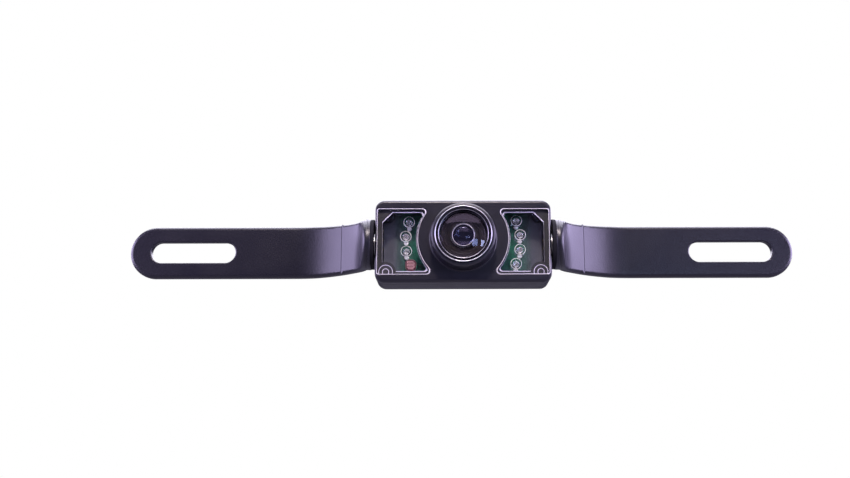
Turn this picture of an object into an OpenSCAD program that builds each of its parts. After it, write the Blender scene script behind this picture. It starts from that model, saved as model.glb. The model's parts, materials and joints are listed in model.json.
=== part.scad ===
// Licence-plate backup camera: a camera head with two infrared windows, hung on pivot screws
// between two curved plate arms. +Z up, +X to the right, the lens looks along -Y.
// The origin is midway between the two arm slots, in the plane where the arms meet the plate.

/* [Arms] */
// Overall length over both arms
span = 335.3; // [325:0.1:360]
// Height of the arm strip
strip_h = 25.7; // [25:0.1:30]
// Thickness of the arm strip
strip_t = 3.8; // [3.4:0.1:4.4]
// Distance between the centres of the two slots
slot_spacing = 271.8; // [268:0.1:274]
// Width of each slot
slot_w = 10.6; // [7:0.1:11]
// Length of each slot, end to end
slot_len = 42.4; // [36:0.1:44]
// Distance from the middle to where the strip starts to bend
bend_start = 85; // [84:0.5:88]
// Radius of the long bend, at the front of the strip
bend_r = 46.6; // [46:0.1:48]

/* [Camera head] */
// Width of the head
head_w = 84.7; // [84.5:0.1:85]
// Height of the head
head_h = 40.6; // [40.2:0.1:44]
// Corner radius of the head, seen from the front
head_r = 4.5; // [3.5:0.1:5]
// Distance from the plate plane to the back of the head
head_back = 9.2; // [8.8:0.1:9.6]
// Distance from the plate plane to the joint between cover and housing
parting = 25.1; // [24.8:0.1:25.4]
// Distance from the plate plane to the front face
head_front = 30.1; // [30:0.1:30.5]
// Thickness of the front cover's face
face_t = 3.6; // [3.4:0.1:3.8]

/* [Lens] */
// Height of the lens axis above the pivot axis
lens_z = 1.2; // [0.8:0.1:1.3]
// Radius of the turret's rim
turret_r = 15.3; // [15:0.1:15.8]
// How far the turret stands out of the front face
turret_h = 9.6; // [9.3:0.1:10]
// Radius of the cover glass
glass_r = 12.2; // [12:0.05:12.3]
// Radius of the threaded lens barrel
barrel_r = 6; // [5.9:0.05:6.1]

/* [Windows and lights] */
// Height of each window
window_h = 32.4; // [31:0.1:32.6]
// Radius of the arc beside the lens, about the lens axis
window_arc_r = 21.7; // [21:0.1:22.5]
// Radius of the arc of lights, about the lens axis
led_arc_r = 28; // [27.4:0.1:28.4]
// Angle between neighbouring lights
led_step = 15; // [13:0.5:15.5]
// Diameter of an infrared lamp
led_d = 5; // [4.8:0.1:5.2]

/* [Pivot] */
// Distance from the plate plane to the pivot axis
pivot_d = 21.1; // [20.8:0.1:21.4]
// Radius of the round ear on each arm
ear_r = 12.4; // [12:0.1:12.8]
// Distance from the middle to the ear's inner face
ear_x = 44.6; // [44.5:0.1:44.8]
// Radius of the pivot screw
screw_r = 2; // [1.8:0.1:2.1]

/* [Cable] */
// Diameter of the cable that the gland takes
cable_d = 3.5; // [3:0.1:4]

/* [Hidden] */
$fn = 96;

plastic = [0.09, 0.09, 0.11];
gloss = [0.03, 0.03, 0.04];
clear = [0.75, 0.8, 0.85, 0.35];
rubber = [0.05, 0.05, 0.05];
steel = [0.75, 0.75, 0.77];
brass = [0.8, 0.63, 0.3];
board = [0.05, 0.36, 0.16];
chip = [0.12, 0.12, 0.13];
sides = [-1, 1];
fit = 0.05; // running clearance round the pivot screw
reach = 100; // longer than any cut

// strip bend: the long bend, then a tight elbow, then the straight ear
bend_angle = 42;
elbow_r = 13;
ear_angle = 80;
arc_step = 3;
bend_centre = [bend_start, -strip_t - bend_r];
elbow_centre = bend_centre + (bend_r - elbow_r) * [-sin(bend_angle), cos(bend_angle)];
cap_t = 1.6;
seam_angle = 31.5;
seam_gap = 0.3;
hub_root = 34;
hub_r = ear_r - 0.3;
hub_depth = 2.2;
ear_flare = 12;
ear_tip = pivot_d + ear_r;
head_pocket_r = 4.4;
screw_head_r = 4;
screw_head_h = 1.5;
pocket_x = ear_x + 1.5;
peg_r = 1.2;
peg_z = 8;
washer_t = 0.8;

// head shell
half_w = head_w / 2;
half_h = head_h / 2;
side_wall = 3.2;
shell_wall = 2.2;
floor_t = 2;
gasket_w = 0.9;
gasket_t = 0.8;
gasket_inset = 0.6;
corner_x = half_w - 5.2;
corner_z = half_h - 5.4;
corner_post_r = 3.3;

// windows
window_z = -0.2;
window_x = half_w - 0.8;
window_depth = 2;
seal_t = 0.3;
pane_sink = 0.2;
ledge_side = 2.6;
ledge_top = 1.4;
ledge_arc = 0.9;
pane_fit = 0.08;

// lens stack, as distances from the plate plane
rim_d = head_front + turret_h;
bezel_seat = rim_d - 2.5;
glass_seat = bezel_seat - 1.3;
baffle_seat = glass_seat - 1.5;
glass_back = glass_seat + 1;
glass_edge = glass_back + 1.7;
bezel_front = rim_d + 1.2;
bezel_r = 13.55;
barrel_front = 37;
barrel_back = 20.5;
barrel_bore = 5.3;

// boards
led_board_d = 16.6;
led_board_t = 1.4;
led_base = led_board_d + led_board_t;
camera_board_d = 13.2;
camera_board_t = 1.2;
camera_front = camera_board_d + camera_board_t;
led_r = led_d / 2;
led_dome = led_base + 4.9;
board_fix = [20.5, 12.5];
right_leds = [for (i = [0:3]) 21.5 - i * led_step];
left_leds = [for (i = [0:2]) 20 - i * led_step];
cell_angle = 20 - 3 * led_step;

// gland
gland_z = -11;
gland_bore = cable_d / 2;
gland_neck = 3.6;
gland_flange = 5;

// things drawn in front view, extruded towards the viewer from distance d
module facing(d) {
    translate([0, -d, 0]) rotate([90, 0, 0]) children();
}

// a ring or tube about the lens axis, from distance a to distance b
module lens_tube(a, b, outer, inner = 0) {
    facing(a) translate([0, lens_z, 0]) difference() {
        cylinder(r = outer, h = b - a);
        if (inner > 0) translate([0, 0, -1]) cylinder(r = inner, h = b - a + 2);
    }
}

// a turned shape about the lens axis, its points given as [radius, distance from the plate]
module turned(points) {
    translate([0, 0, lens_z]) rotate([90, 0, 0]) rotate_extrude() polygon(points);
}

// points along an arc in a [radius, distance] outline
function arc_points(c, r, from, to, n = 12) =
    [for (i = [0:n]) let (a = from + (to - from) * i / n) [c[0] + r * cos(a), c[1] + r * sin(a)]];

// a lens surface from its rim to the axis: rim radius, rim distance, rise at the axis
function dome(r, d, rise, n = 12) = let (big = (r * r + rise * rise) / (2 * rise),
    top = asin(r / big))
    [for (i = [n:-1:0]) let (a = top * i / n) [big * sin(a), d + rise - big + big * cos(a)]];

module rounded_plate(w, h, r) {
    square([w - 2 * r, h], center = true);
    square([w, h - 2 * r], center = true);
    for (x = sides, y = sides) translate([x * (w / 2 - r), y * (h / 2 - r)]) circle(r);
}

module at_corners() {
    for (x = sides, y = sides) translate([x * corner_x, y * corner_z]) children();
}

module at_board_fixings() {
    for (x = sides, y = sides) translate([x * board_fix[0], y * board_fix[1]]) children();
}

// outline of a right-hand window, drawn in by the given margins
module window_outline(side = 0, top = 0, arc = 0) {
    difference() {
        translate([10, window_z - window_h / 2 + top])
            square([window_x - side - 10, window_h - 2 * top]);
        translate([0, lens_z]) circle(window_arc_r + arc);
    }
}

module window_hole() {
    difference() {
        window_outline(ledge_side, ledge_top, ledge_arc);
        // upper outer corner is cut off over its screw post, the lower one rounds its post
        translate([window_x - ledge_side, window_z + window_h / 2 - ledge_top])
            rotate(45) square(7, center = true);
        translate([corner_x, -corner_z]) circle(corner_post_r + 1.6);
    }
}

module mirrored_pair() {
    children();
    mirror([1, 0, 0]) children();
}

module front_cover() {
    color(plastic) {
        difference() {
            union() {
                facing(parting) difference() {
                    linear_extrude(head_front - parting) rounded_plate(head_w, head_h, head_r);
                    translate([0, 0, -1]) linear_extrude(head_front - face_t - parting + 1)
                        rounded_plate(head_w - 2 * side_wall, head_h - 2 * shell_wall, 3);
                }
                facing(parting) linear_extrude(face_t / 2) at_corners() circle(corner_post_r);
                turned(concat([[0, head_front - face_t / 2]],
                    [[18.9, head_front - face_t / 2]],
                    arc_points([19.1, head_front + 2.9], 2.9, 270, 190, 8),
                    arc_points([turret_r - 0.8, rim_d - 0.8], 0.8, 0, 90, 6),
                    [[0, rim_d]]));
            }
            mirrored_pair() {
                facing(head_front - window_depth) linear_extrude(window_depth + 1) window_outline();
                facing(parting - 1) linear_extrude(face_t + 3) window_hole();
            }
            lens_tube(bezel_seat, rim_d + 1, bezel_r + fit);
            lens_tube(glass_seat, rim_d, glass_r + 0.1);
            lens_tube(baffle_seat, rim_d, 10.9);
            lens_tube(parting - 1, rim_d, 9.5);
            facing(parting - 1) at_corners() cylinder(r = 1, h = 3.2);
        }
    }
}

module rear_housing() {
    color(plastic) difference() {
        union() {
            facing(head_back) difference() {
                linear_extrude(parting - head_back) rounded_plate(head_w, head_h, head_r);
                translate([0, 0, floor_t]) linear_extrude(reach)
                    rounded_plate(head_w - 2 * side_wall, head_h - 2 * shell_wall, 3);
            }
            facing(head_back + floor_t / 2) linear_extrude(parting - head_back - floor_t / 2)
                at_corners() circle(corner_post_r);
            facing(head_back + floor_t / 2) linear_extrude(camera_board_d - head_back - floor_t / 2)
                at_board_fixings() circle(2.4);
        }
        facing(head_back - 1) at_corners() {
            cylinder(r = 1.45, h = reach);
            cylinder(r = 2.7, h = 3.2);
        }
        facing(head_back + 0.8) at_board_fixings() cylinder(r = 0.8, h = reach);
        facing(parting - gasket_t) linear_extrude(gasket_t + 1) gasket_outline();
        facing(head_back - 1) translate([0, gland_z]) cylinder(r = gland_neck, h = 4);
        translate([-reach, -pivot_d, 0]) rotate([0, 90, 0]) cylinder(r = 2.9, h = 2 * reach);
    }
}

module gasket_outline() {
    difference() {
        rounded_plate(head_w - 2 * gasket_inset, head_h - 2 * gasket_inset, head_r - gasket_inset);
        rounded_plate(head_w - 2 * (gasket_inset + gasket_w), head_h - 2 * (gasket_inset + gasket_w),
            head_r - gasket_inset - gasket_w);
    }
}

module housing_gasket() {
    color(rubber) facing(parting - gasket_t) linear_extrude(gasket_t) gasket_outline();
}

module window_pane() {
    facing(head_front - window_depth + seal_t)
        linear_extrude(window_depth - seal_t - pane_sink)
            window_outline(pane_fit, pane_fit, pane_fit);
}

module left_window() {
    color(clear) mirror([1, 0, 0]) window_pane();
}

module right_window() {
    color(clear) window_pane();
}

module window_seals() {
    color(rubber) mirrored_pair() facing(head_front - window_depth) linear_extrude(seal_t)
        difference() {
            window_outline(0.3, 0.3, 0.3);
            window_hole();
        }
}

module lens_bezel() {
    color(gloss) turned(concat([[bezel_r, bezel_seat]],
        arc_points([bezel_r - 0.95, bezel_front - 0.95], 0.95, 0, 90, 8),
        arc_points([12.25, bezel_front - 0.6], 0.6, 90, 180, 6),
        [[11.65, glass_edge], [glass_r + fit, glass_edge], [glass_r + fit, bezel_seat]]));
}

module cover_glass() {
    color(clear) turned(concat([[10.9, glass_back], [glass_r, glass_back], [glass_r, glass_edge]],
        dome(11.6, glass_edge, 1.6),
        [for (i = [12:-1:0]) dome(10.9, glass_back + 0.6, 1.4)[i]]));
}

module glass_o_ring() {
    color(rubber) turned([for (a = [0:20:340])
        [11.6 + 0.5 * cos(a), glass_seat + 0.5 + 0.5 * sin(a)]]);
}

module lens_baffle() {
    color(plastic) turned([[barrel_r + fit, baffle_seat], [10.8, baffle_seat],
        [10.8, baffle_seat + 2.8], [10.4, baffle_seat + 2.8], [10, baffle_seat + 2.3],
        [9.2, baffle_seat + 2.3], [8.8, baffle_seat + 1.8], [7.9, baffle_seat + 1.8],
        [7.5, baffle_seat + 1.3], [barrel_r + fit, baffle_seat + 1.3]]);
}

module lens_barrel() {
    color(gloss) turned([[3.8, barrel_back], [barrel_r, barrel_back], [barrel_r, barrel_front],
        [barrel_bore, barrel_front], [barrel_bore, 29.4], [4.1, 28], [4.1, 23.2], [3.8, 23.2]]);
}

module lens_retaining_ring() {
    color(gloss) turned([[4.6, barrel_front - 0.8], [barrel_bore, barrel_front - 0.8],
        [barrel_bore, barrel_front + 0.2], [4.9, barrel_front + 0.2]]);
}

module front_element() {
    color(clear) turned(concat([[0, 34.3], [barrel_bore, 34.3], [barrel_bore, 36.2],
        [4.6, 36.2]], dome(4.5, 36.2, 0.9)));
}

module element_spacer() {
    color(gloss) lens_tube(32.9, 34.3, barrel_bore, 4.3);
}

module middle_element() {
    color(clear) turned(concat([[0, 29.6], [4.3, 29.6], [barrel_bore, 30.4], [barrel_bore, 32.9],
        [4.3, 32.9]], dome(4.2, 32.9, 0.7)));
}

module rear_element() {
    color(clear) turned(concat([[0, 23.2], [4.1, 23.2], [4.1, 25.4]], dome(4, 25.4, 0.8)));
}

module lens_holder() {
    color(plastic) difference() {
        union() {
            lens_tube(camera_front, 26, 7.4);
            facing(camera_front) translate([-8, lens_z - 8, 0]) cube([16, 16, 2.2]);
        }
        facing(camera_front - 1) translate([-5.2, lens_z - 5.2, 0]) cube([10.4, 10.4, 2.6]);
        lens_tube(camera_front, 26, 3.6);
        lens_tube(17, 26, 5.1);
        lens_tube(18, 27, barrel_r + fit);
    }
}

module sensor_filter() {
    color(clear) lens_tube(17, 17.6, 5.05);
}

module image_sensor() {
    color(chip) facing(camera_front) translate([-4, lens_z - 4, 0]) cube([8, 8, 1]);
}

module camera_board() {
    color(board) facing(camera_board_d) difference() {
        linear_extrude(camera_board_t) rounded_plate(56, 32, 1.5);
        translate([0, 0, -1]) at_board_fixings() cylinder(r = 1.15, h = 4);
    }
}

// chips as [x, z, width, height, thickness]
module board_chips() {
    chips = [[-17, 1, 7, 7, 1], [16, -3, 5, 6.2, 1], [16, 5.5, 4.8, 3.4, 0.8],
        [-25, 6, 2, 1.2, 0.6], [-25, 2, 2, 1.2, 0.6], [-25, -2, 2, 1.2, 0.6],
        [25, 0, 2, 1.2, 0.6], [25, 4, 2, 1.2, 0.6], [-10.5, -13, 3.2, 1.6, 0.8],
        [10.5, 13, 3.2, 1.6, 0.8]];
    color(chip) facing(camera_front) for (c = chips)
        translate([c[0] - c[2] / 2, c[1] - c[3] / 2, 0]) cube([c[2], c[3], c[4]]);
}

// low header for the cable's wires, with one slot for their plug
module cable_connector() {
    color([0.85, 0.84, 0.78]) facing(camera_front) difference() {
        translate([-4.5, -15, 0]) cube([9, 4.6, 2]);
        translate([-3.7, -16, -1]) cube([7.4, 3, 4]);
    }
}

module board_screws() {
    color(steel) facing(camera_board_d - 3) at_board_fixings() {
        cylinder(r = 0.8, h = 3 + camera_board_t);
        translate([0, 0, 3 + camera_board_t]) cylinder(r = 1.9, h = 1);
    }
}

module led_board() {
    color(board) facing(led_board_d) difference() {
        linear_extrude(led_board_t) difference() {
            rounded_plate(71, 35.4, 1);
            translate([0, lens_z]) circle(12);
            at_corners() circle(corner_post_r + 0.3);
        }
        translate([0, 0, -1]) {
            at_all_leds() for (x = sides) translate([x * 1.27, 0]) cylinder(r = 0.4, h = 4);
            at_polar(180 - cell_angle) for (x = sides)
                translate([x * 1.7, 0]) cylinder(r = 0.4, h = 4);
        }
    }
}

module at_polar(angle) {
    translate([led_arc_r * cos(angle), lens_z + led_arc_r * sin(angle), 0]) children();
}

module at_all_leds() {
    for (a = right_leds) at_polar(a) children();
    for (a = left_leds) at_polar(180 - a) children();
}

// clear lamp bodies: flange, round body and domed end, hollow for the lead frame
module ir_leds() {
    color(clear) facing(led_base) at_all_leds() rotate_extrude()
        polygon(concat([[1.15, 0], [led_r + 0.4, 0], [led_r + 0.4, 1], [led_r, 1]],
            arc_points([0, led_dome - led_base], led_r, 0, 90),
            [[0, 4.3], [1.15, 4.3]]));
}

// silver lead frames: a reflector cup and two legs through the board
module led_frames() {
    color(steel) facing(led_base) at_all_leds() {
        rotate_extrude() polygon([[0, 0.4], [1, 0.4], [1, 4.2], [0.85, 4.2], [0.45, 3.6], [0, 3.6]]);
        for (x = sides) translate([x * 1.27, 0, -led_board_t - 0.6]) cylinder(r = 0.3, h = 1.9);
    }
}

module photocell() {
    color([0.72, 0.4, 0.38]) facing(led_base + 3.4) at_polar(180 - cell_angle)
        intersection() {
            cylinder(r = 3, h = 2);
            translate([-2.6, -3, 0]) cube([5.2, 6, 2]);
        }
}

module photocell_legs() {
    color(steel) facing(led_board_d - 0.6) at_polar(180 - cell_angle) for (x = sides)
        translate([x * 1.7, 0]) cylinder(r = 0.3, h = led_board_t + 4);
}

module led_resistors() {
    color(chip) facing(led_base) for (x = sides, z = [-6, 0, 6])
        translate([x * 16.5 - 0.8, z - 1.6 + lens_z, 0]) cube([1.6, 3.2, 0.6]);
}

// black sheets that hide the wiring at the outer end of each window
module light_masks() {
    color(plastic) mirrored_pair() facing(led_base) linear_extrude(0.4) difference() {
        translate([31.9, -15]) square([6.9, 30]);
        at_corners() circle(corner_post_r + 0.3);
    }
}

module housing_screws() {
    color(steel) facing(head_back + 2.2 - 1.6) at_corners() difference() {
        union() {
            cylinder(r = 2.5, h = 1.6);
            cylinder(r = 1, h = parting - head_back + 1.4);
        }
        for (a = [0, 90]) rotate(a) translate([-1.4, -0.3, -1]) cube([2.8, 0.6, 1.9]);
    }
}

module cable_gland() {
    color(rubber) translate([0, 0, gland_z]) rotate([90, 0, 0]) rotate_extrude()
        polygon([[gland_bore, head_back - 3.2], [3.1, head_back - 3.2], [3.5, head_back - 1.2],
            [gland_flange, head_back - 1.2], [gland_flange, head_back],
            [gland_neck, head_back], [gland_neck, head_back + floor_t],
            [4.4, head_back + floor_t], [4.1, head_back + floor_t + 1.2],
            [gland_bore, head_back + floor_t + 1.2]]);
}

// a ring or shank on the pivot axis of the right-hand side, from x = a to x = b
module pivot_ring(a, b, outer, inner = 0) {
    translate([a, -pivot_d, 0]) rotate([0, 90, 0]) difference() {
        cylinder(r = outer, h = b - a);
        if (inner > 0) translate([0, 0, -1]) cylinder(r = inner, h = b - a + 2);
    }
}

module pivot_inserts() {
    color(brass) mirrored_pair() pivot_ring(half_w - side_wall, half_w, 2.9, screw_r);
}

module thrust_washers() {
    color(steel) mirrored_pair() pivot_ring(half_w, half_w + washer_t, 5.2, screw_r);
}

module pivot_screw() {
    difference() {
        union() {
            pivot_ring(half_w - side_wall + 0.2, pocket_x, screw_r);
            pivot_ring(pocket_x, pocket_x + screw_head_h, screw_head_r);
        }
        for (a = [0, 90]) translate([pocket_x + 0.5, -pivot_d, 0]) rotate([a, 0, 0])
            translate([0, -2, -0.4]) cube([2, 4, 0.8]);
    }
}

module left_pivot_screw() {
    color(steel) mirror([1, 0, 0]) pivot_screw();
}

module right_pivot_screw() {
    color(steel) pivot_screw();
}

module friction_disc() {
    pivot_ring(half_w + washer_t, ear_x, 12.2, screw_r + fit);
}

module left_friction_disc() {
    color(rubber) mirror([1, 0, 0]) friction_disc();
}

module right_friction_disc() {
    color(rubber) friction_disc();
}

// a point of the bent strip at angle a, at depth e behind its front surface
function strip_point(a, e) = a <= bend_angle
    ? bend_centre + (bend_r + e) * [-sin(a), cos(a)]
    : elbow_centre + (elbow_r + e) * [-sin(a), cos(a)];

// where the straight ear ends, level with the front of its round end
function ear_end(e) = let (p = strip_point(ear_angle, e), run = (ear_tip + p[1]) / sin(ear_angle))
    p - run * [cos(ear_angle), sin(ear_angle)];

function strip_side(from, e) =
    concat([for (a = [from:arc_step:ear_angle - 0.1]) strip_point(a, e)],
        [strip_point(ear_angle, e), ear_end(e)]);

function backwards(list) = [for (i = [len(list) - 1:-1:0]) list[i]];

// outline of the arm seen from the front, without its slot
module arm_face() {
    end_r = strip_h / 2;
    translate([ear_x, -end_r]) square([span / 2 - end_r - ear_x, strip_h]);
    translate([span / 2 - end_r, 0]) circle(end_r);
}

// outline of the ear seen from the side: round in front, widening a little towards the plate
module ear_side() {
    translate([ear_x - 2, 0, 0]) rotate([0, 90, 0]) linear_extrude(reach * 2) union() {
        translate([0, -pivot_d]) circle(ear_r);
        polygon([[-ear_r, -pivot_d], [ear_r, -pivot_d], [strip_h / 2 + 0.5, -ear_flare],
            [strip_h / 2 + 0.5, 1], [-strip_h / 2 - 0.5, 1], [-strip_h / 2 - 0.5, -ear_flare]]);
    }
}

// the whole strip seen from above, stepped down past the seam to carry the cap
module strip_plan() {
    polygon(concat([[span / 2 + 1, 0], [span / 2 + 1, -strip_t]],
        [for (a = [0:seam_angle / 10:seam_angle + 0.1]) strip_point(a, 0)],
        strip_side(seam_angle, cap_t), backwards(strip_side(0, strip_t))));
}

module arm() {
    difference() {
        union() {
            intersection() {
                translate([0, 0, -strip_h]) linear_extrude(2 * strip_h) strip_plan();
                facing(-1) linear_extrude(reach) arm_face();
                ear_side();
            }
            hub();
        }
        facing(-2) translate([slot_spacing / 2, 0, 0]) slot_cutter();
        translate([ear_x - 1, -pivot_d, 0]) rotate([0, 90, 0]) {
            cylinder(r = screw_r + fit, h = 10);
            translate([0, 0, pocket_x - ear_x + 1]) cylinder(r = head_pocket_r, h = 6);
        }
        for (z = sides) translate([pocket_x - 0.5, -pivot_d, z * peg_z]) rotate([0, 90, 0])
            cylinder(r = peg_r + 0.05, h = 6);
    }
}

module slot_cutter() {
    straight = slot_len - slot_w;
    linear_extrude(strip_t + 4) {
        square([straight, slot_w], center = true);
        for (x = sides) translate([x * straight / 2, 0]) circle(slot_w / 2);
    }
}

// round boss on the inner side of the ear, filled out to the back of the strip
module hub() {
    intersection() {
        translate([0, 0, -strip_h]) linear_extrude(2 * strip_h)
            polygon(concat([[ear_x, -ear_tip - 1], [ear_x, hub_r - pivot_d + 1]],
                [for (a = [hub_root:arc_step:ear_angle - 1]) strip_point(a, hub_depth)],
                [ear_end(hub_depth) - [0.2, 1]]));
        translate([0, -pivot_d, 0]) rotate([0, 90, 0]) cylinder(r = hub_r, h = reach);
    }
}

module arm_cap() {
    intersection() {
        translate([0, 0, -strip_h]) linear_extrude(2 * strip_h)
            polygon(concat(strip_side(seam_angle + seam_gap, 0),
                backwards(strip_side(seam_angle + seam_gap, cap_t))));
        facing(-1) linear_extrude(reach) arm_face();
        ear_side();
    }
    for (z = sides) translate([pocket_x, -pivot_d, z * peg_z]) rotate([0, 90, 0])
        cylinder(r = peg_r, h = 3);
}

module left_arm() {
    color(plastic) mirror([1, 0, 0]) arm();
}

module right_arm() {
    color(plastic) arm();
}

module left_arm_cap() {
    color(plastic) mirror([1, 0, 0]) arm_cap();
}

module right_arm_cap() {
    color(plastic) arm_cap();
}

front_cover();
rear_housing();
housing_gasket();
left_window();
right_window();
window_seals();
lens_bezel();
cover_glass();
glass_o_ring();
lens_baffle();
lens_barrel();
lens_retaining_ring();
front_element();
element_spacer();
middle_element();
rear_element();
lens_holder();
sensor_filter();
image_sensor();
camera_board();
board_chips();
cable_connector();
board_screws();
led_board();
ir_leds();
led_frames();
photocell();
photocell_legs();
led_resistors();
light_masks();
housing_screws();
cable_gland();
pivot_inserts();
thrust_washers();
left_pivot_screw();
right_pivot_screw();
left_friction_disc();
right_friction_disc();
left_arm();
right_arm();
left_arm_cap();
right_arm_cap();
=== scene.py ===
import json
import math

import bmesh
import bpy
from mathutils import Matrix, Quaternion, Vector


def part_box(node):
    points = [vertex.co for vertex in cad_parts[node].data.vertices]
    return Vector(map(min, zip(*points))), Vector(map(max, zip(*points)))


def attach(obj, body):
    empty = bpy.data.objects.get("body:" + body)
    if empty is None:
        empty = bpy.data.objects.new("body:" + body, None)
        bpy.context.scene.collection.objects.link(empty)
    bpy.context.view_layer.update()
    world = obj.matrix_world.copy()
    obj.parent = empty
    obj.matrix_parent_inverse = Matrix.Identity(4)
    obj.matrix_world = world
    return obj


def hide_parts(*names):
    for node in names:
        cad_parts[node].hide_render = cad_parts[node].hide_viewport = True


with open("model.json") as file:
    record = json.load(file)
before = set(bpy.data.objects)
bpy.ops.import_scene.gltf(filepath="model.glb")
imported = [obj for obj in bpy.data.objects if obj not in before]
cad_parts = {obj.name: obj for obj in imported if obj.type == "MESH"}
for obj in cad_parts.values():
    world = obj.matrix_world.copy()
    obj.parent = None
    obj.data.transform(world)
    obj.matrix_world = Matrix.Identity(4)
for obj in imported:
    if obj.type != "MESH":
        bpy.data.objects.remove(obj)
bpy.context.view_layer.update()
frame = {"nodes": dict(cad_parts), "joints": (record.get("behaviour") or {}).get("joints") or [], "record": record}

# ---------------------------------------------------------------- camera
# The camera stands half a metre in front of the plate, below the lens and a touch to the left,
# and looks up at the middle of the arms.
LENS_MM, SENSOR_MM = 41.88, 36.0
eye_distance, eye_below, eye_left = 0.5, math.radians(11.8), math.radians(0.6)
eye_roll = math.radians(-0.25)

target = Vector((0, -0.0038, 0))
eye = Vector((-math.sin(eye_left) * math.cos(eye_below), -math.cos(eye_left) * math.cos(eye_below),
              -math.sin(eye_below))) * eye_distance + target
lens_data = bpy.data.cameras.new("camera")
lens_data.lens, lens_data.sensor_width = LENS_MM, SENSOR_MM
lens_data.shift_x, lens_data.shift_y = -0.0444, 0.0151
lens_data.clip_start = 0.01
camera = bpy.data.objects.new("camera", lens_data)
bpy.context.scene.collection.objects.link(camera)
camera.location = eye
aim = (target - eye).to_track_quat("-Z", "Y")
camera.rotation_euler = (aim @ Quaternion((0, 0, 1), eye_roll)).to_euler()
bpy.context.scene.camera = camera

bpy.context.scene.view_settings.view_transform = "Standard"

# ---------------------------------------------------------------- studio
# A floor far below the part, which looks pale but lights it like a darker one, and a white world.
# Soft boxes stand above, beside and behind the part, and three small ones show in its lens.
floor_z, floor_half = -0.26, 6
floor_mesh = bpy.data.meshes.new("floor")
bm = bmesh.new()
bmesh.ops.create_grid(bm, x_segments=4, y_segments=4, size=floor_half)
bmesh.ops.translate(bm, verts=bm.verts, vec=(0, 0, floor_z))
bm.to_mesh(floor_mesh)
bm.free()
floor = bpy.data.objects.new("floor", floor_mesh)
bpy.context.scene.collection.objects.link(floor)
floor_paint = bpy.data.materials.new("pale_floor")
floor_paint.use_nodes = True
paint = floor_paint.node_tree
paint.nodes["Principled BSDF"].inputs["Base Color"].default_value = (0.14, 0.14, 0.145, 1)
paint.nodes["Principled BSDF"].inputs["Roughness"].default_value = 0.9
pale, sight, blend = (paint.nodes.new(f"ShaderNode{kind}")
                      for kind in ("Emission", "LightPath", "MixShader"))
pale.inputs["Color"].default_value = (0.9, 0.9, 0.92, 1)
paint.links.new(sight.outputs["Is Camera Ray"], blend.inputs[0])
paint.links.new(paint.nodes["Principled BSDF"].outputs[0], blend.inputs[1])
paint.links.new(pale.outputs[0], blend.inputs[2])
paint.links.new(blend.outputs[0], paint.nodes["Material Output"].inputs["Surface"])
floor_mesh.materials.append(floor_paint)

world = bpy.data.worlds.new("studio")
bpy.context.scene.world = world
world.use_nodes = True
sky = world.node_tree
sky.nodes.clear()
seen, lit = sky.nodes.new("ShaderNodeBackground"), sky.nodes.new("ShaderNodeBackground")
seen.inputs["Color"].default_value = (1, 1, 1, 1)
seen.inputs["Strength"].default_value = 1.0
lit.inputs["Color"].default_value = (0.62, 0.6, 1.0, 1)
lit.inputs["Strength"].default_value = 0.12
rays = sky.nodes.new("ShaderNodeLightPath")
mix = sky.nodes.new("ShaderNodeMixShader")
out = sky.nodes.new("ShaderNodeOutputWorld")
sky.links.new(rays.outputs["Is Camera Ray"], mix.inputs[0])
sky.links.new(lit.outputs[0], mix.inputs[1])
sky.links.new(seen.outputs[0], mix.inputs[2])
sky.links.new(mix.outputs[0], out.inputs["Surface"])


def soft_box(name, place, width, height, watts, tint):
    """A soft rectangular light that faces the part."""
    data = bpy.data.lights.new(name, "AREA")
    data.shape, data.size, data.size_y = "RECTANGLE", width, height
    data.energy, data.color = watts, tint
    box = bpy.data.objects.new(name, data)
    bpy.context.scene.collection.objects.link(box)
    box.location = place
    box.rotation_euler = (Vector() - Vector(place)).to_track_quat("-Z", "Y").to_euler()
    return box


soft_box("top_box", (0, 0.22, 0.66), 1.2, 0.75, 17, (0.86, 0.83, 1))
soft_box("brow_box", (0, -0.42, 0.6), 0.7, 0.25, 1.5, (0.8, 0.75, 1))
soft_box("sheen_box", (0, -0.58, 0.42), 0.55, 0.2, 0.4, (0.9, 0.72, 0.9))
soft_box("left_box", (-0.85, -0.13, 0.16), 1.25, 0.52, 19, (0.7, 0.6, 1))
soft_box("right_box", (0.85, -0.13, 0.16), 1.25, 0.52, 22, (0.7, 0.6, 1))
soft_box("back_box", (0, 0.8, 0.4), 0.9, 0.5, 7, (0.9, 0.87, 1))
soft_box("window_pane_a", (0.2, -0.75, 0.02), 0.09, 0.11, 0.17, (0.45, 0.6, 1))
soft_box("window_pane_b", (0.33, -0.7, 0.01), 0.065, 0.11, 0.2, (0.6, 0.72, 1))
soft_box("spot_box", (0, -0.46, 0.49), 0.08, 0.06, 4, (1, 0.86, 0.85))

# ---------------------------------------------------------------- arms
# Each arm is one moulding in black nylon with a fine satin grain: a flat end with a long slot for
# the plate screw, bent forward to a round ear that carries the head. Its edges are rounded.
half_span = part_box("right_arm")[1][0] * 1000
arm_h, arm_t, rim_r = 26.3, 3.8, 1.8
bend_start, bend_r, bend_turn = 85.0, 46.6, math.radians(42)
elbow_r, ear_turn = 13.0, math.radians(80)
ear_x, ear_r, hub_r = 44.6, 12.4, 12.38
pivot_y = frame["joints"][0]["pos_m"][1] * 1000
cap_t, seam_turn, seam_gap = 1.6, math.radians(31.5), 0.25
slots = next(m for m in frame["record"]["mounts"] if m["name"] == "plate_slots")["dims"]
slot_x, slot_r = slots["spacing_x_mm"] / 2, slots["hole_r_mm"]
slot_run = slots["slot_length_mm"] / 2 - slot_r
bend_centre = Vector((bend_start, -arm_t - bend_r))
elbow_centre = bend_centre + (bend_r - elbow_r) * Vector((-math.sin(bend_turn), math.cos(bend_turn)))
bend_run, elbow_run = bend_r * bend_turn, elbow_r * (ear_turn - bend_turn)
ear_run = 53.0
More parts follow.
